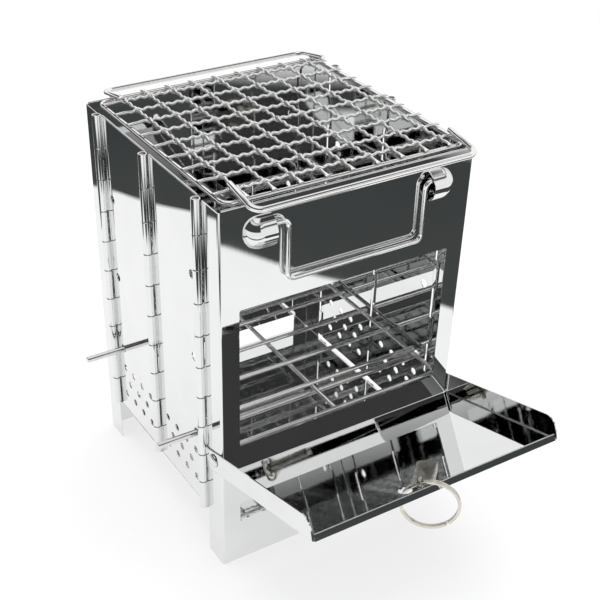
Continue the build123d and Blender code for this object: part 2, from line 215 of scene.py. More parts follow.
def antique_tag():
    """Antique nickel: worn bright and smooth in patches, dull and dark between them."""
    s = Shading("antique_tag")
    s.shader.inputs["Metallic"].default_value = 1.0
    wear = s.noise(240.0, 4.0)
    worn = s.between(wear, 0.3, 0.7)
    s.link(s.mixed(worn, (0.30, 0.29, 0.26), (0.56, 0.54, 0.49)), s.shader.inputs["Base Color"])
    s.link(s.between(wear, 0.3, 0.7, 0.38, 0.22), s.shader.inputs["Roughness"])
    s.bump(s.noise(900.0, 3.0), 0.000015, 0.3)
    return s.material


finishes = {
    "polished_sheet": polished_sheet(),
    "steel_wire": bright_wire(),
    "steel_fittings": turned_fittings(),
    "plated_ring": plated_ring(),
    "antique_tag": antique_tag(),
}
slot_of = {part["node"]: part["material_slot"] for part in frame["record"]["subparts"]}
for name, node in nodes.items():
    node.data.materials.clear()
    node.data.materials.append(finishes[slot_of[name]])
bpy.ops.object.select_all(action="DESELECT")


# Work by hand on one piece at a time


def clear():
    bpy.ops.object.select_all(action="DESELECT")


def take(piece):
    """Select one piece alone and make it active."""
    clear()
    piece.select_set(True)
    bpy.context.view_layer.objects.active = piece


def primitive(name, add, scale=(1, 1, 1), **settings):
    """Add one of Blender's own shapes and name it; the scale goes on afterwards, because some of them ignore it."""
    clear()
    add(**settings)
    piece = bpy.context.active_object
    piece.scale = scale
    piece.name = piece.data.name = name
    settled()
    return piece


def block(name, low, high):
    """A block between two opposite corners."""
    middle = [(a + b) / 2 for a, b in zip(low, high)]
    size = [b - a for a, b in zip(low, high)]
    return primitive(name, bpy.ops.mesh.primitive_cube_add, size=1, location=middle, scale=size)


def bar(name, middle, radius, length, axis, sides=24):
    """A round bar along the X, Y or Z axis."""
    turns = {"X": (0, pi / 2, 0), "Y": (pi / 2, 0, 0), "Z": (0, 0, 0)}
    return primitive(
        name,
        bpy.ops.mesh.primitive_cylinder_add,
        vertices=sides,
        radius=radius,
        depth=length,
        location=middle,
        rotation=turns[axis],
    )


def open_up(piece):
    """Go into edit mode on this piece."""
    if piece.mode != "EDIT":
        take(piece)
        bpy.ops.object.mode_set(mode="EDIT")


def close_up(piece):
    """Leave edit mode and take the piece."""
    if piece.mode == "EDIT":
        bpy.ops.object.mode_set(mode="OBJECT")
    take(piece)
    return piece


def pick(piece, kind, test):
    """Go into edit mode and select the verts, edges or faces that pass test(middle, item)."""
    open_up(piece)
    bpy.ops.mesh.select_mode(type={"verts": "VERT", "edges": "EDGE", "faces": "FACE"}[kind])
    bpy.ops.mesh.select_all(action="DESELECT")
    mesh = bmesh.from_edit_mesh(piece.data)
    for item in getattr(mesh, kind):
        middle = item.co if kind == "verts" else sum((v.co for v in item.verts), Vector()) / len(item.verts)
        if test(middle, item):
            item.select_set(True)
    mesh.select_flush_mode()
    bmesh.update_edit_mesh(piece.data)


def along(edge, axis):
    """True for an edge that runs along the X, Y or Z axis, given as 0, 1 or 2."""
    way = edge.verts[1].co - edge.verts[0].co
    return abs(way[axis]) > 0.999 * way.length


def beside(value, place):
    return abs(value - place) < NEAR


def bevelled(piece, width, segments, test):
    """Round the edges that pass test(middle, edge)."""
    pick(piece, "edges", test)
    bpy.ops.mesh.bevel(offset=width, segments=segments)
    return close_up(piece)


def pushed_out(way):
    """Extrude what is selected along this way."""
    bpy.ops.mesh.extrude_region_move(TRANSFORM_OT_translate={"value": way})


def settled():
    """Put the selected piece's place, turn and scale into its mesh, so that its origin is the world's."""
    bpy.ops.object.transform_apply(location=True, rotation=True, scale=True)


def smooth(piece, angle=35):
    """Shade smooth wherever two faces meet at less than this angle."""
    close_up(piece)
    bpy.ops.object.shade_smooth_by_angle(angle=radians(angle))
    return piece


def sheet_finish(piece):
    """Smooth folds and rounded edges, with each flat side kept flat to its very edge."""
    smooth(piece)
    return modified(piece, "WEIGHTED_NORMAL", keep_sharp=True, weight=50)


def outwards(piece):
    """Merge points that coincide and turn every face outwards."""
    open_up(piece)
    bpy.ops.mesh.select_all(action="SELECT")
    bpy.ops.mesh.remove_doubles(threshold=1e-6)
    bpy.ops.mesh.normals_make_consistent(inside=False)
    return close_up(piece)


def modified(piece, kind, **settings):
    """Add a modifier with these settings and apply it."""
    close_up(piece)
    modifier = piece.modifiers.new("shape", kind)
    for key, value in settings.items():
        setattr(modifier, key, value)
    bpy.ops.object.modifier_apply(modifier="shape")
    return piece


def cut(piece, tool, how="DIFFERENCE"):
    """Cut a piece with a tool, or join or trim it when told so, and clear the tool away."""
    modified(piece, "BOOLEAN", operation=how, object=tool, solver="EXACT")
    bpy.data.objects.remove(tool)
    return piece


def in_sheet(piece):
    """Give a surface that was drawn in the middle of the sheet its thickness."""
    outwards(piece)
    modified(piece, "SOLIDIFY", thickness=SHEET, offset=0)
    return outwards(piece)


def rounded_edges(piece, width, segments=2, angle=40):
    """Round all edges sharper than this angle."""
    return modified(piece, "BEVEL", width=width, segments=segments, limit_method="ANGLE", angle_limit=radians(angle))


def copied(piece, name, move=(0, 0, 0)):
    take(piece)
    bpy.ops.object.duplicate(linked=False)
    twin = bpy.context.active_object
    twin.name = twin.data.name = name
    twin.location = move
    settled()
    return twin


def mirrored(piece, name):
    """A left-hand copy of a right-hand piece."""
    twin = copied(piece, name)
    twin.scale.x = -1
    settled()
    outwards(twin)
    return smooth(twin)


def together(name, pieces):
    clear()
    for piece in pieces:
        piece.select_set(True)
    bpy.context.view_layer.objects.active = pieces[0]
    bpy.ops.object.join()
    piece = bpy.context.active_object
    piece.name = piece.data.name = name
    return piece


def placed(piece, origin, x_way, z_way):
    """Put a piece that was made at the world's origin where its own X and Z axes point these ways."""
    x_way, z_way = Vector(x_way).normalized(), Vector(z_way).normalized()
    y_way = z_way.cross(x_way)
    take(piece)
    piece.matrix_world = Matrix.Translation(origin) @ Matrix((x_way, y_way, z_way)).transposed().to_4x4()
    settled()
    return piece


def fitted(piece, body, slot, *replaced):
    """Give a finished piece its material, its body and the node that it stands for."""
    piece.data.materials.clear()
    piece.data.materials.append(finishes[slot])
    for face in piece.data.polygons:
        face.material_index = 0
    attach(piece, body)
    if replaced:
        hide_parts(*replaced)
    return piece


class Wire:
    """A wire drawn out from a ring: straight runs by extrude, bends by spin."""

    def __init__(self, name, start, facing, radius, sides=14, loop=False):
        turn = Vector(facing).to_track_quat("Z", "Y").to_euler()
        fill = "NOTHING" if loop else "NGON"
        self.piece = primitive(
            name,
            bpy.ops.mesh.primitive_circle_add,
            vertices=sides,
            radius=radius,
            fill_type=fill,
            location=start,
            rotation=turn,
        )
        bpy.ops.object.mode_set(mode="EDIT")
        bpy.ops.mesh.select_all(action="SELECT")

    def run(self, x=0.0, y=0.0, z=0.0):
        pushed_out((x, y, z))

    def bend(self, centre, axis, degrees, steps=8):
        bpy.ops.mesh.spin(steps=steps, angle=-radians(degrees), center=centre, axis=axis)

    def swell(self, y=1.0, z=1.0):
        """Make the free end of a wire that runs along X wider or flatter."""
        bpy.ops.transform.resize(value=(1.0, y, z))

    def end(self):
        return smooth(outwards(self.piece), ROUND)


# Sizes that several pieces share

NEAR = 1e-5  # two places this close are the same
ROUND = 50  # degrees, smoothing of wire
SHEET = 0.0008
FOLD = 0.0012  # bend in the middle of the sheet
SHEET_EDGE = 0.00018
HALF_WIDTH = 0.0875
FRONT, REAR, MIDDLE = -0.0004, 0.1746, 0.0871  # outer faces of the panels, and half way between
HEIGHT = 0.2587
HEM_TOP, HEM_BOTTOM = HEIGHT, HEIGHT - 0.006
PANEL_TOP = HEIGHT - 0.0012  # where the sheet turns over into its hem
HEM_HALF = 0.0855
SIDE_BOTTOM = 0.036
WINDOW = (0.0945, 0.193)
ASH_SLOT = (0.0325, 0.048)
OPENING_HALF = 0.0745
BARREL = 0.0028
HINGE_X = HALF_WIDTH - SHEET + BARREL
FRONT_HINGE, REAR_HINGE = FRONT + 0.0214, REAR - 0.0214
LEAF = BARREL + 0.0003  # hinge pin to the sheet's edge
KNUCKLES = 10
PITCH = (HEIGHT - SIDE_BOTTOM) / KNUCKLES
GAP = 0.0006  # between two knuckles
PIN = 0.0019
ROLL = 338  # degrees, turn of a knuckle; its slit is the rest
VENT_Z, VENT_PITCH_Y, VENT_PITCH_Z, VENT = 0.062, 0.0132, 0.0112, 0.0025
ROD_HOLE_Z, ROD_HOLE_PITCH, ROD_HOLE = 0.0887, 0.0577, 0.003
ROD_INSET = 0.033
WIRE, MESH_WIRE, HANDLE_WIRE, ROD = 0.0015, 0.001, 0.0019, 0.0022  # radii
FRAME_HALF, FRAME_BEND = 0.082, 0.006  # middle lines of the grill's and the grate's frame
PIVOT = Vector((0, 0.0078, 0.0832))  # of the fuel door
DOOR_SIDE = HALF_WIDTH + 0.0004  # inner face of its flanges
EAR = 0.01025  # outer radius of a pressed ear


# Hinges


def knuckle_row(name, hinge_y, leaf, first):
    """Every second knuckle of a right-hand hinge, rolled from the sheet's edge with its slit left open."""
    low = SIDE_BOTTOM + first * PITCH + GAP / 2
    high = low + PITCH - GAP
    roll = primitive(
        name,
        bpy.ops.mesh.primitive_plane_add,
        size=1,
        location=(HALF_WIDTH - SHEET / 2, hinge_y + leaf * LEAF / 2, (low + high) / 2),
        rotation=(0, pi / 2, 0),
        scale=(high - low, LEAF, 1),
    )
    pick(roll, "edges", lambda m, e: along(e, 2) and beside(m.y, hinge_y))
    bpy.ops.mesh.spin(steps=26, angle=-leaf * radians(ROLL), center=(HINGE_X, hinge_y, 0), axis=(0, 0, 1))
    outwards(roll)
    modified(roll, "SOLIDIFY", thickness=SHEET, offset=0)
    rounded_edges(roll, 0.00012, 1, 60)
    outwards(roll)
    smooth(roll)
    rest = [copied(roll, name, (0, 0, 2 * i * PITCH)) for i in range(1, (KNUCKLES - first + 1) // 2)]
    return smooth(together(name, [roll] + rest))


def hinge_pin(name, x, y):
    """Pin that stays inside the barrels at both ends."""
    inset = 0.0012
    pin = bar(name, (x, y, (SIDE_BOTTOM + HEIGHT) / 2), PIN, HEIGHT - SIDE_BOTTOM - 2 * inset, "Z")
    rounded_edges(pin, 0.0003)
    return smooth(pin)


# Panels


def hem(low, high, axis):
    """Folded top edge between two corners in plan: a double thickness of sheet with a half-round crown."""
    fold = block("hem", (*low, HEM_BOTTOM), (*high, HEM_TOP))
    across = 1 - axis
    width = 0.48 * (high[across] - low[across])
    return bevelled(fold, width, 6, lambda m, e: along(e, axis) and beside(m.z, HEM_TOP))


def channel(name, face_y, end_y):
    """Front or rear panel: a face between two side flanges, folded from one sheet."""
    panel = primitive(
        name,
        bpy.ops.mesh.primitive_plane_add,
        size=1,
        location=(0, face_y, PANEL_TOP / 2),
        rotation=(pi / 2, 0, 0),
        scale=(2 * HALF_WIDTH - SHEET, PANEL_TOP, 1),
    )
    pick(panel, "edges", lambda m, e: along(e, 2))
    pushed_out((0, end_y - face_y, 0))
    bevelled(panel, FOLD, 5, lambda m, e: along(e, 2) and beside(m.y, face_y))
    return in_sheet(panel)


def opening(reach, y):
    """Tool that cuts a window or slot with rounded corners, from one height to another."""
    bottom, top = reach
    tool = block("opening", (-OPENING_HALF, y - 0.003, bottom), (OPENING_HALF, y + 0.003, top))
    return bevelled(tool, 0.0014, 4, lambda m, e: along(e, 1))


def pressed_ear(name, radius, back_y):
    """Half barrel with a domed outer end, pressed out of the front panel on the right."""
    depth, inner_x, dome_x = 0.008, 0.054, 0.062
    ear_y, ear_z = FRONT - depth + EAR, HEIGHT - 0.0184
    ear = primitive(
        name,
        bpy.ops.mesh.primitive_uv_sphere_add,
        segments=48,
        ring_count=24,
        radius=radius,
        location=(dome_x, ear_y, ear_z),
        rotation=(0, pi / 2, 0),
    )
    pick(ear, "verts", lambda m, v: m.x < dome_x - NEAR)
    bpy.ops.mesh.delete(type="VERT")
    pick(ear, "edges", lambda m, e: e.is_boundary)
    pushed_out((inner_x - dome_x, 0, 0))
    bpy.ops.mesh.select_all(action="SELECT")
    bpy.ops.mesh.bisect(plane_co=(0, back_y, 0), plane_no=(0, 1, 0), clear_outer=True)
    return close_up(ear)


def ear_hole():
    """Tool that opens the panel behind the right ear."""
    hole = pressed_ear("hole", EAR - SHEET, 0.002)
    pick(hole, "edges", lambda m, e: e.is_boundary)
    bpy.ops.mesh.fill()
    return outwards(hole)


def hinge_sides(hinge_y, leaf):
    """The knuckles of a front or rear panel on both sides."""
    right = knuckle_row("knuckles", hinge_y, leaf, 0)
    return [right, mirrored(right, "knuckles_left")]


def front_panel():
    face = FRONT + SHEET / 2
    panel = channel("front_panel_sheet", face, FRONT_HINGE - LEAF)
    cut(panel, hem((-HEM_HALF, FRONT), (HEM_HALF, FRONT + 2 * SHEET), 0), "UNION")
    cut(panel, opening(WINDOW, face))
    cut(panel, opening(ASH_SLOT, face))
    hole = ear_hole()
    cut(panel, mirrored(hole, "hole_left"))
    cut(panel, hole)
    ear = pressed_ear("ear", EAR, face)
    outwards(ear)
    modified(ear, "SOLIDIFY", thickness=SHEET, offset=-1)
    outwards(ear)
    ears = [mirrored(ear, "ear_left"), smooth(ear)]
    rounded_edges(panel, SHEET_EDGE, 1, 50)
    panel = together("front_panel_sheet", [panel] + hinge_sides(FRONT_HINGE, -1) + ears)
    fitted(sheet_finish(panel), "stove", "polished_sheet", "front_panel")


def rear_panel():
    face = REAR - SHEET / 2
    panel = channel("rear_panel_sheet", face, REAR_HINGE + LEAF)
    cut(panel, hem((-HEM_HALF, REAR - 2 * SHEET), (HEM_HALF, REAR), 0), "UNION")
    cut(panel, opening(ASH_SLOT, face))
    rounded_edges(panel, SHEET_EDGE, 1, 50)
    panel = together("rear_panel_sheet", [panel] + hinge_sides(REAR_HINGE, 1))
    fitted(sheet_finish(panel), "stove", "polished_sheet", "rear_panel")


def side_panel(name, low_hinge, high_hinge, first_low, first_high, rod_y):
    """Right-hand half panel with its vents, rod holes, hem and knuckles."""
    low_y, high_y = low_hinge + LEAF, high_hinge - LEAF
    panel = block(name, (HALF_WIDTH - SHEET, low_y, SIDE_BOTTOM), (HALF_WIDTH, high_y, PANEL_TOP))
    cut(panel, hem((HALF_WIDTH - 2 * SHEET, low_y), (HALF_WIDTH, high_y), 1), "UNION")
    middle = (low_hinge + high_hinge) / 2
    spots = []
    for i in range(4):
        y = middle + (i - 1.5) * VENT_PITCH_Y
        spots += [(y, VENT_Z - VENT_PITCH_Z, VENT), (y, VENT_Z + VENT_PITCH_Z, VENT)]
    spots += [(middle + (i - 1) * VENT_PITCH_Y, VENT_Z, VENT) for i in range(3)]
    spots += [(rod_y, ROD_HOLE_Z + i * ROD_HOLE_PITCH, ROD_HOLE) for i in range(3)]
    for y, z, radius in spots:
        cut(panel, bar("drill", (HALF_WIDTH, y, z), radius, 0.01, "X", 28))
    rounded_edges(panel, 0.00015, 1, 50)
    low_row = knuckle_row("knuckles_low", low_hinge, 1, first_low)
    high_row = knuckle_row("knuckles_high", high_hinge, -1, first_high)
    return sheet_finish(together(name, [panel, low_row, high_row]))


front_panel()
rear_panel()
for place, low_hinge, high_hinge, first_low, first_high, rod_y in (
    ("front", FRONT_HINGE, MIDDLE, 1, 0, FRONT + ROD_INSET),
    ("rear", MIDDLE, REAR_HINGE, 1, 1, REAR - ROD_INSET),
):
    right = side_panel("side_" + place + "_right_sheet", low_hinge, high_hinge, first_low, first_high, rod_y)
    left = sheet_finish(mirrored(right, "side_" + place + "_left_sheet"))
    fitted(right, "stove", "polished_sheet", "side_" + place + "_right")
    fitted(left, "stove", "polished_sheet", "side_" + place + "_left")
for side, x in (("left", -HINGE_X), ("right", HINGE_X)):
    for place, y in (("front", FRONT_HINGE), ("middle", MIDDLE), ("rear", REAR_HINGE)):
        pin = hinge_pin("pin_" + side + "_" + place, x, y)
        fitted(pin, "stove", "steel_fittings", "hinge_pin_" + side + "_" + place)


# Wire pieces

GRILL_Z, GRATE_Z, ROD_Z = HEIGHT - 0.0004, 0.0922, 0.0882  # middle lines
GRILL_SHIFT, HANDLE_SHIFT = 0.002, 0.0055  # to the right
GRILL_INSET = 0.006  # front panel to the frame's middle line
MESH_COUNT, MESH_PITCH_X, MESH_PITCH_Y = 9, 0.0174, 0.018
FIRST_X, FIRST_Y = -0.0664, 0.0156  # wires of the mesh nearest its left and its front
LAST_Y = FIRST_Y + (MESH_COUNT - 1) * MESH_PITCH_Y


def wire_frame(name, middle_x, front_y, z):
    """Closed square frame with round corners."""
    straight = 2 * (FRAME_HALF - FRAME_BEND)
    wire = Wire(name, (middle_x, front_y, z), (1, 0, 0), WIRE, loop=True)
    right, left = middle_x + straight / 2, middle_x - straight / 2
    near = front_y + FRAME_BEND
    far = near + straight
    wire.run(x=straight / 2)
    wire.bend((right, near, z), (0, 0, 1), 90)
    wire.run(y=straight)
    wire.bend((right, far, z), (0, 0, 1), 90)
    wire.run(x=-straight)
    wire.bend((left, far, z), (0, 0, 1), 90)
    wire.run(y=-straight)
    wire.bend((left, near, z), (0, 0, 1), 90)
    wire.run(x=straight / 2)
    return wire.end()


def straight_wire(name, start, end, radius):
    wire = Wire(name, start, Vector(end) - Vector(start), radius)
    wire.run(*(Vector(end) - Vector(start)))
    outwards(wire.piece)
    return smooth(rounded_edges(wire.piece, 0.0004, 2, 60), ROUND)


def crimped(pitch, first, start, end, up):
    """Mesh wire along X: five half waves between crossings, its ends flattened where they are welded."""
    half_wave = pitch / 5
    crossing, ripple = 0.0011, 0.0005  # height of the bend at a crossing and between crossings
    flat_end, taper, plain = 0.0022, 0.0018, 0.002
    wide, thin = 1.9, 0.45  # a flat end's width and height, to the round wire's
    wide_step, thin_step = 1.5, 0.6  # the part of that which is lost along the taper
    steps = 4
    heights = []
    for cell in range(MESH_COUNT - 1):
        way = up if cell % 2 == 0 else -up
        heights += [crossing * way, -ripple * way, ripple * way, -ripple * way, ripple * way]
    heights.append(crossing * up)
    xs = [first + i * half_wave for i in range(len(heights))]
    straight = flat_end + taper + plain
    xs = [start + straight, first - half_wave] + xs + [xs[-1] + half_wave, end - straight]
    heights = [0.0, -ripple * up] + heights + [-ripple * up, 0.0]
    wire = Wire("crimped", (start, 0, 0), (1, 0, 0), MESH_WIRE, 10)
    wire.swell(y=wide, z=thin)
    wire.run(x=flat_end)
    wire.swell(y=1 / wide_step, z=1 / thin_step)
    wire.run(x=taper)
    wire.swell(y=wide_step / wide, z=thin_step / thin)
    wire.run(x=plain)
    for i in range(1, len(xs)):
        gone = 0.0
        for step in range(1, steps + 1):
            here = (1 - cos(pi * step / steps)) / 2
            wire.run(x=(xs[i] - xs[i - 1]) / steps, z=(heights[i] - heights[i - 1]) * (here - gone))
            gone = here
    wire.run(x=plain)
    wire.run(x=taper)
    wire.swell(y=wide / wide_step, z=thin / thin_step)
    wire.run(x=flat_end)
    wire.swell(y=wide_step, z=thin_step)
    return wire.end()


def mesh_row(name, pitch, first, start, end, first_up, x_way, spots):
    """Crimped wires of one direction side by side, every second one the other way up."""
    pair = [crimped(pitch, first, start, end, up) for up in (first_up, -first_up)]
    wires = [placed(copied(pair[i % 2], "mesh_wire"), spot, x_way, (0, 0, 1)) for i, spot in enumerate(spots)]
    for spare in pair:
        bpy.data.objects.remove(spare)
    return smooth(together(name, wires), ROUND)


def mesh_wires():
    """Wires each way, over and under each other in turn, on top of the frame."""
    left, right, front, rear = -0.0815, 0.0855, 0.0041, 0.1711
    z = GRILL_Z + WIRE + MESH_WIRE
    spots = [(0, FIRST_Y + i * MESH_PITCH_Y, z) for i in range(MESH_COUNT)]
    wires = mesh_row("grill_cross_wires", MESH_PITCH_X, FIRST_X, left, right, -1, (1, 0, 0), spots)
    fitted(wires, "grill", "steel_wire", "grill_wires_cross")
    spots = [(FIRST_X + i * MESH_PITCH_X, 0, z) for i in range(MESH_COUNT)]
    wires = mesh_row("grill_long_wires", MESH_PITCH_Y, FIRST_Y, front, rear, 1, (0, 1, 0), spots)
    fitted(wires, "grill", "steel_wire", "grill_wires_long")


def grill_handle(name, panel_y, wire_y, inward):
    """Handle that leans from the panel's top edge onto the first crossing wire."""
    half, reach, leg, bend, over_edge = 0.076, 0.010, 0.0185, 0.007, 0.0003
    rise, run = 0.0028, abs(wire_y - panel_y) - 0.00058  # its slope, up onto the crossing wire
    wire = Wire(name, (-half, leg, HANDLE_WIRE), (0, -1, 0), HANDLE_WIRE, 16)
    wire.run(y=-(leg + reach - bend))
    wire.bend((-half + bend, -reach + bend, 0), (0, 0, 1), 90)
    wire.run(x=2 * (half - bend))
    wire.bend((half - bend, -reach + bend, 0), (0, 0, 1), 90)
    wire.run(y=leg + reach - bend)
    handle = outwards(wire.piece)
    rounded_edges(handle, 0.0006, 2, 60)
    placed(handle, (HANDLE_SHIFT, panel_y, HEIGHT + over_edge), (inward, 0, 0), (0, -inward * rise, run))
    return smooth(handle, ROUND)


def bail():
    """Bail handle with thicker journals at its ends, which turn in the pressed ears."""
    y, z, left, right, low, bend = FRONT - 0.0033, HEIGHT - 0.0137, -0.0446, 0.0501, 0.2068, 0.0045
    journal, neck, thicker = 0.0045, 0.004, 1.1
    wire = Wire("bail", (left - bend - neck - journal, y, z), (1, 0, 0), thicker * WIRE)
    wire.run(x=journal)
    wire.swell(y=1 / thicker, z=1 / thicker)
    wire.run(x=neck)
    wire.bend((left - bend, y, z - bend), (0, 1, 0), 90)
    wire.run(z=low - z + 2 * bend)
    wire.bend((left + bend, y, low + bend), (0, 1, 0), -90)
    wire.run(x=right - left - 2 * bend)
    wire.bend((right - bend, y, low + bend), (0, 1, 0), -90)
    wire.run(z=z - low - 2 * bend)
    wire.bend((right + bend, y, z - bend), (0, 1, 0), 90)
    wire.run(x=neck)
    wire.swell(y=thicker, z=thicker)
    wire.run(x=journal)
    return wire.end()


def grate():
    """Frame with a centre wire in it and five bars across it, all 3 mm wire."""
    fitted(wire_frame("grate_rails", 0, MIDDLE - FRAME_HALF, GRATE_Z), "grate", "steel_wire", "grate_frame")
    reach = FRAME_HALF - WIRE
    spine = straight_wire("grate_spine", (0, MIDDLE - reach, GRATE_Z), (0, MIDDLE + reach, GRATE_Z), WIRE)
    fitted(spine, "grate", "steel_wire", "grate_centre_wire")
    first_y, pitch, count = 0.033, 0.0286, 5
    bar_z, reach = GRATE_Z + 2 * WIRE, FRAME_HALF + WIRE
    rungs = []
    for y in (first_y + i * pitch for i in range(count)):
        rungs.append(straight_wire("rung", (-reach, y, bar_z), (reach, y, bar_z), WIRE))
    fitted(smooth(together("grate_rungs", rungs), ROUND), "grate", "steel_wire", "grate_bars")


def rods():
    half_length = 0.115
    for place, y in (("front", FRONT + ROD_INSET), ("rear", REAR - ROD_INSET)):
        rod = straight_wire("rod_" + place, (-half_length, y, ROD_Z), (half_length, y, ROD_Z), ROD)
        fitted(rod, "rod_" + place, "steel_fittings", "support_rod_" + place)


rails = wire_frame("grill_rails", GRILL_SHIFT, FRONT + GRILL_INSET, GRILL_Z)
fitted(rails, "grill", "steel_wire", "grill_frame")
mesh_wires()
for place, panel_y, wire_y, inward in (("front", FRONT, FIRST_Y, 1), ("rear", REAR, LAST_Y, -1)):
    handle = grill_handle("grill_" + place + "_handle", panel_y, wire_y, inward)
    fitted(handle, "grill", "steel_wire", "grill_handle_" + place)
fitted(bail(), "bail", "steel_wire", "bail_handle")
grate()
rods()


# Fuel door, rivets, pull ring and tag

SLOPE = radians(16)  # of the open door
UPWARD = Vector((0, sin(SLOPE), cos(SLOPE)))
FORWARD = Vector((0, -cos(SLOPE), sin(SLOPE)))
PLATE_TOP = -0.0085  # of the door's plate, from the pivot
RING_TURN = radians(40)
RING_CENTRE = Vector((-0.006, -0.10255, 0.09496))
RING_WAY = Vector((cos(RING_TURN), -sin(RING_TURN), 0))
RING_FACING = Vector((-sin(RING_TURN), -cos(RING_TURN), 0))
TAG_POINT = Vector((-0.01159, -0.09786, 0.11031))  # where the tag hangs on the ring
TAG_LEAN = 0.4435  # radians, the ring's own slope there


def door():
    """Fuel door: a tray of folded sheet with two flanges and a front lip, made flat and then tilted on its pivot."""
    low, high = PLATE_TOP - SHEET / 2, 0.006
    front, rear, plate_rear = -0.1139, 0.0093, -0.0064
    front_corner, rear_corner = 0.008, 0.0092  # of the flanges
    rivet_hole, ring_hole = 0.00205, 0.0042  # radii
    tray = primitive(
        "door_tray",
        bpy.ops.mesh.primitive_plane_add,
        size=1,
        location=(0, (front + rear) / 2, low),
        scale=(2 * DOOR_SIDE + SHEET, rear - front, 1),
    )
    pick(tray, "edges", lambda m, e: along(e, 1))
    pushed_out((0, 0, high - low))
    bevelled(tray, FOLD, 5, lambda m, e: along(e, 1) and beside(m.z, low))
    in_sheet(tray)
    outline = block("outline", (-0.1, front, low - SHEET / 2), (0.1, rear, high))
    bevelled(outline, front_corner, 10, lambda m, e: along(e, 0) and m.y < 0 and m.z > 0)
    bevelled(outline, rear_corner, 12, lambda m, e: along(e, 0) and m.y > 0 and m.z < 0)
    cut(tray, outline, "INTERSECT")
    cut(tray, block("gap", (-DOOR_SIDE, plate_rear, -0.02), (DOOR_SIDE, 0.02, 0.02)))
    lip_half, lip_top = 0.0868, PLATE_TOP + 0.004
    lip = block("lip", (-lip_half, front, low - 0.0001), (lip_half, front + SHEET, lip_top))
    bevelled(lip, 0.00036, 3, lambda m, e: along(e, 0) and beside(m.z, lip_top))
    cut(tray, lip, "UNION")
    cut(tray, bar("drill", (0, 0, 0), rivet_hole, 0.2, "X", 28))
    hole = RING_CENTRE - RING_WAY * 0.015 + Vector((0, 0, 0.008)) - PIVOT  # where the ring goes through the plate
    cut(tray, bar("drill", (hole.x, -hole.dot(FORWARD), low), ring_hole, 0.006, "Z", 28))
    rounded_edges(tray, 0.0002, 2, 50)
    take(tray)
    tray.rotation_euler = (-SLOPE, 0, 0)
    tray.location = PIVOT
    settled()
    return sheet_finish(tray)


def rivet(name):
    """Domed head outside the door's flange, a shank through both sheets and a flat tail inside."""
    inner, outer = HALF_WIDTH - SHEET, DOOR_SIDE + SHEET + 0.0002
    head_radius, head_height, shank_radius, tail_radius, tail_height = 0.0046, 0.002, 0.002, 0.0029, 0.0012
    head = primitive(
        name,
        bpy.ops.mesh.primitive_uv_sphere_add,
        segments=36,
        ring_count=18,
        radius=1,
        location=(outer, PIVOT.y, PIVOT.z),
        rotation=(0, pi / 2, 0),
        scale=(head_radius, head_radius, head_height),
    )
    pick(head, "verts", lambda m, v: True)
    bpy.ops.mesh.bisect(plane_co=(outer + 1e-6, 0, 0), plane_no=(1, 0, 0), clear_inner=True, use_fill=True)
    outwards(head)
    shank = bar("shank", ((inner + outer) / 2, PIVOT.y, PIVOT.z), shank_radius, outer - inner, "X")
    tail = bar("tail", (inner - tail_height / 2, PIVOT.y, PIVOT.z), tail_radius, tail_height, "X")
    rounded_edges(tail, 0.0004)
    return smooth(together(name, [head, shank, tail]))


def split_ring():
    """Key ring of flat wire in two coils, each open by a few degrees, with rounded corners."""
    radius, width, thick, apart, turn = 0.01695, 0.0019, 0.00125, 0.00066, 354
    coils = []
    for offset, opens_at in ((-apart, 200), (apart, -52)):
        coil = primitive(
            "coil",
            bpy.ops.mesh.primitive_plane_add,
            size=1,
            location=(radius, 0, offset),
            rotation=(pi / 2, 0, 0),
            scale=(width, thick, 1),
        )
        pick(coil, "faces", lambda m, f: True)
        bpy.ops.mesh.spin(steps=90, angle=radians(turn), center=(0, 0, 0), axis=(0, 0, 1))
        outwards(coil)
        rounded_edges(coil, 0.0003, 2, 50)
        take(coil)
        coil.rotation_euler = (0, 0, radians(opens_at))
        settled()
        coils.append(coil)
    ring = together("pull_ring", coils)
    placed(ring, RING_CENTRE, RING_WAY, RING_FACING)
    return smooth(ring)


def tag():
    """Cast tag: a plate with a raised border and a bare sunk face, a neck and a loop round the ring."""
    across = RING_WAY * cos(TAG_LEAN) + Vector((0, 0, sin(TAG_LEAN)))
    across = across - UPWARD * across.dot(UPWARD)
    rest = 0.0002  # over the door's plate
    low = PLATE_TOP + rest - (TAG_POINT - PIVOT).dot(UPWARD)
    half_width, near, far, thick, border, sunk = 0.00625, 0.0036, 0.034, 0.0025, 0.0011, 0.0005
    plate = block("tag", (-half_width, near, low), (half_width, far, low + thick))
    bevelled(plate, 0.0016, 4, lambda m, e: along(e, 2))
    pick(plate, "faces", lambda m, f: f.normal.z > 0.9)
    bpy.ops.mesh.inset(thickness=border)
    bpy.ops.transform.translate(value=(0, 0, -sunk))
    outwards(plate)
    rounded_edges(plate, 0.00025, 2, 50)
    neck = block("neck", (-0.0034, 0.0012, low), (0.0034, 0.0052, low + 0.0021))
    pick(neck, "faces", lambda m, f: f.normal.y < -0.9)
    bpy.ops.transform.resize(value=(0.5, 1, 1))
    rounded_edges(neck, 0.0004)
    loop = primitive(
        "loop",
        bpy.ops.mesh.primitive_torus_add,
        major_radius=0.0034,
        minor_radius=0.00078,
        major_segments=40,
        minor_segments=14,
        rotation=(0, pi / 2, 0),
    )
    pick(loop, "verts", lambda m, v: True)
    bpy.ops.transform.resize(value=(1.85, 1, 1))
    close_up(loop)
    piece = together("tag", [plate, neck, loop])
    placed(piece, TAG_POINT, across, UPWARD)
    return smooth(piece)


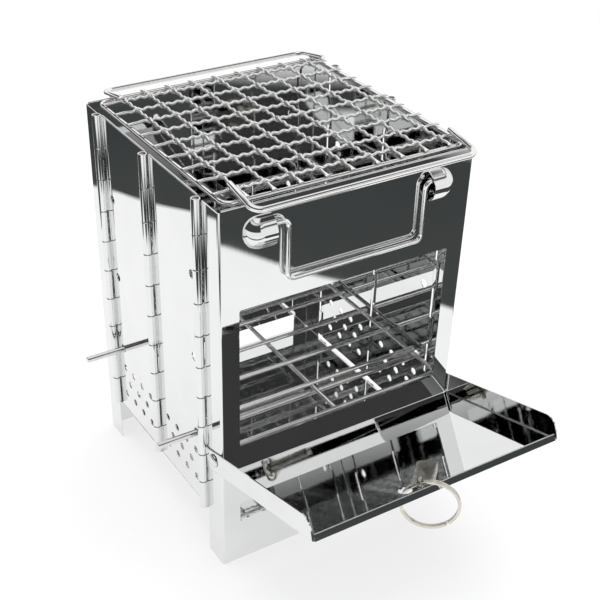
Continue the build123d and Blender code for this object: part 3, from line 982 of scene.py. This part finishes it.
fitted(door(), "door", "polished_sheet", "fuel_door")
right = rivet("rivet_right")
left = mirrored(right, "rivet_left")
fitted(right, "stove", "steel_fittings", "door_rivet_right")
fitted(left, "stove", "steel_fittings", "door_rivet_left")
fitted(split_ring(), "ring", "plated_ring", "split_ring")
fitted(tag(), "tag", "antique_tag", "ring_tag")


# Stage: a white sheet and a backdrop square to the camera, and beyond them a darker room that only reflections show

CAMERA_TURN = radians(32.32)
SHEET_LEFT, SHEET_RIGHT, SHEET_NEAR = -0.50, 0.302, -0.33  # edges of the white sheet on the floor
BLUR = 0.004  # half width of those edges


def stage_floor():
    """White floor; in reflections it is dark round the white sheet, and white again far off in front and right."""
    floor = primitive("floor", bpy.ops.mesh.primitive_plane_add, size=8.0, location=(0, MIDDLE, -0.0005))
    s = Shading("floor")
    s.tree.nodes.remove(s.shader)
    place = s.squared_to_camera(s.coords)
    wave = s.computed("MULTIPLY", s.computed("SUBTRACT", s.noise(9.0, 0.0), 0.5), 0.03)
    across = s.computed("ADD", place["X"], wave)
    left = s.between(across, SHEET_LEFT + BLUR, SHEET_LEFT - BLUR)
    right = s.between(across, SHEET_RIGHT - BLUR, SHEET_RIGHT + BLUR)
    before = s.between(place["Y"], SHEET_NEAR, SHEET_NEAR - 0.03)
    near_right = s.between(place["X"], 0.60, 0.70, 1.0, 0.0)
    near_front = s.between(place["Y"], -0.50, -0.42)
    beyond = s.computed("MULTIPLY", s.computed("MAXIMUM", left, right, before), near_right, near_front)
    white = s.add("ShaderNodeBsdfDiffuse")
    white.inputs["Color"].default_value = (0.93, 0.93, 0.93, 1)
    paper = s.add("ShaderNodeEmission")
    paper.inputs["Color"].default_value = (1, 1, 1, 1)
    dark = s.add("ShaderNodeEmission")
    s.link(s.mixed(s.noise(2.2, 1.0), (0.028, 0.031, 0.034), (0.085, 0.092, 0.088)), dark.inputs["Color"])
    path = s.add("ShaderNodeLightPath").outputs
    seen = s.computed("MULTIPLY", s.computed("MAXIMUM", path["Is Camera Ray"], path["Is Glossy Ray"]), 0.7)
    lit = s.blended(seen, white, paper)
    mix = s.blended(s.computed("MULTIPLY", beyond, path["Is Glossy Ray"]), lit, dark)
    s.link(mix.outputs[0], s.out.inputs["Surface"])
    floor.data.materials.append(s.material)


def stage_world():
    """White to the camera and soft light on the floor.

    Reflections see a backdrop behind the object, whose upper part only a first reflection sees, a low white wall all
    round that is higher on the right, a bright patch high on the right, and a ceiling that ends short of the right.
    All else is dark. The limits are parts of a direction of length 1: dark at the first, bright at the second.
    """
    world = bpy.data.worlds.new("studio")
    bpy.context.scene.world = world
    world.use_nodes = True
    s = NodeTree(world.node_tree)
    way = s.squared_to_camera(s.add("ShaderNodeTexCoord").outputs["Generated"])
    across, away, up = way["X"], way["Y"], way["Z"]
    path = s.add("ShaderNodeLightPath").outputs
    seen_once = s.computed("LESS_THAN", path["Glossy Depth"], 1.5)
    upper = s.computed("MULTIPLY", s.between(up, 0.82, 0.74), seen_once)
    backdrop_top = s.computed("MAXIMUM", upper, s.between(up, 0.58, 0.46))
    backdrop = s.computed("MULTIPLY", s.between(away, 0.06, 0.16), s.between(across, -0.62, -0.52), backdrop_top)
    high_up = s.computed("MULTIPLY", s.between(up, 0.59, 0.65), s.between(up, 0.80, 0.74))
    patch = s.computed("MULTIPLY", s.between(across, 0.34, 0.44), high_up)
    low_wall = s.between(up, 0.24, 0.17)
    right_wall = s.computed("MULTIPLY", s.between(up, 0.54, 0.42), s.between(across, 0.40, 0.50))
    ceiling = s.computed("MULTIPLY", s.between(up, 0.80, 0.88), s.between(across, 0.34, 0.22))
    bright = s.computed("MAXIMUM", backdrop, patch, low_wall, right_wall, ceiling)

    def background(level):
        node = s.add("ShaderNodeBackground")
        node.inputs["Color"].default_value = (level, level, level, 1)
        return node

    room, white, soft = background(1), background(1), background(0.8)
    s.link(s.computed("ADD", s.computed("MULTIPLY", bright, 0.93), 0.055), room.inputs["Strength"])
    unseen = s.blended(path["Is Glossy Ray"], soft, room)
    whole = s.blended(path["Is Camera Ray"], unseen, white)
    s.link(whole.outputs[0], s.add("ShaderNodeOutputWorld").inputs["Surface"])


def soft_box(name, place, aim, size, power):
    """Square lamp that lights the floor and stays out of reflections."""
    light = bpy.data.lights.new(name, "AREA")
    light.shape = "SQUARE"
    light.size = size
    light.energy = power
    lamp = bpy.data.objects.new(name, light)
    bpy.context.scene.collection.objects.link(lamp)
    lamp.location = place
    lamp.rotation_euler = (Vector(aim) - Vector(place)).to_track_quat("-Z", "Y").to_euler()
    lamp.visible_glossy = False


stage_floor()
stage_world()
soft_box("overhead", place=(0.1, 0.1, 1.3), aim=(0, 0.09, 0), size=1.2, power=14.0)


# Camera at the photograph's viewing angle, from a pinhole fitted to its corner points


def aim_camera():
    """Place, turn and shift the camera as it was fitted: the picture's middle isn't the lens's."""
    turn, tilt, roll = CAMERA_TURN, radians(34.38), radians(1.31)
    target = Vector((0.0128, MIDDLE, 0.0810))
    distance = 0.807
    focal_px, frame_px, sensor = 1136.0, 600.0, 36.0
    centre_px = (286.0, 355.0)
    ahead = Vector((sin(turn) * cos(tilt), cos(turn) * cos(tilt), -sin(tilt)))
    right = Vector((cos(turn), -sin(turn), 0))
    up = right.cross(ahead)
    across = right * cos(roll) + up * sin(roll)
    above = up * cos(roll) - right * sin(roll)
    data = bpy.data.cameras.new("camera")
    data.sensor_fit = "HORIZONTAL"
    data.sensor_width = sensor
    data.lens = sensor * focal_px / frame_px
    data.shift_x = (frame_px / 2 - centre_px[0]) / frame_px
    data.shift_y = (centre_px[1] - frame_px / 2) / frame_px
    data.clip_start = 0.01
    camera = bpy.data.objects.new("camera", data)
    bpy.context.scene.collection.objects.link(camera)
    place = target - ahead * distance
    camera.matrix_world = Matrix(
        (
            (across.x, above.x, -ahead.x, place.x),
            (across.y, above.y, -ahead.y, place.y),
            (across.z, above.z, -ahead.z, place.z),
            (0, 0, 0, 1),
        )
    )
    bpy.context.scene.camera = camera


aim_camera()
bpy.context.scene.view_settings.view_transform = "Standard"
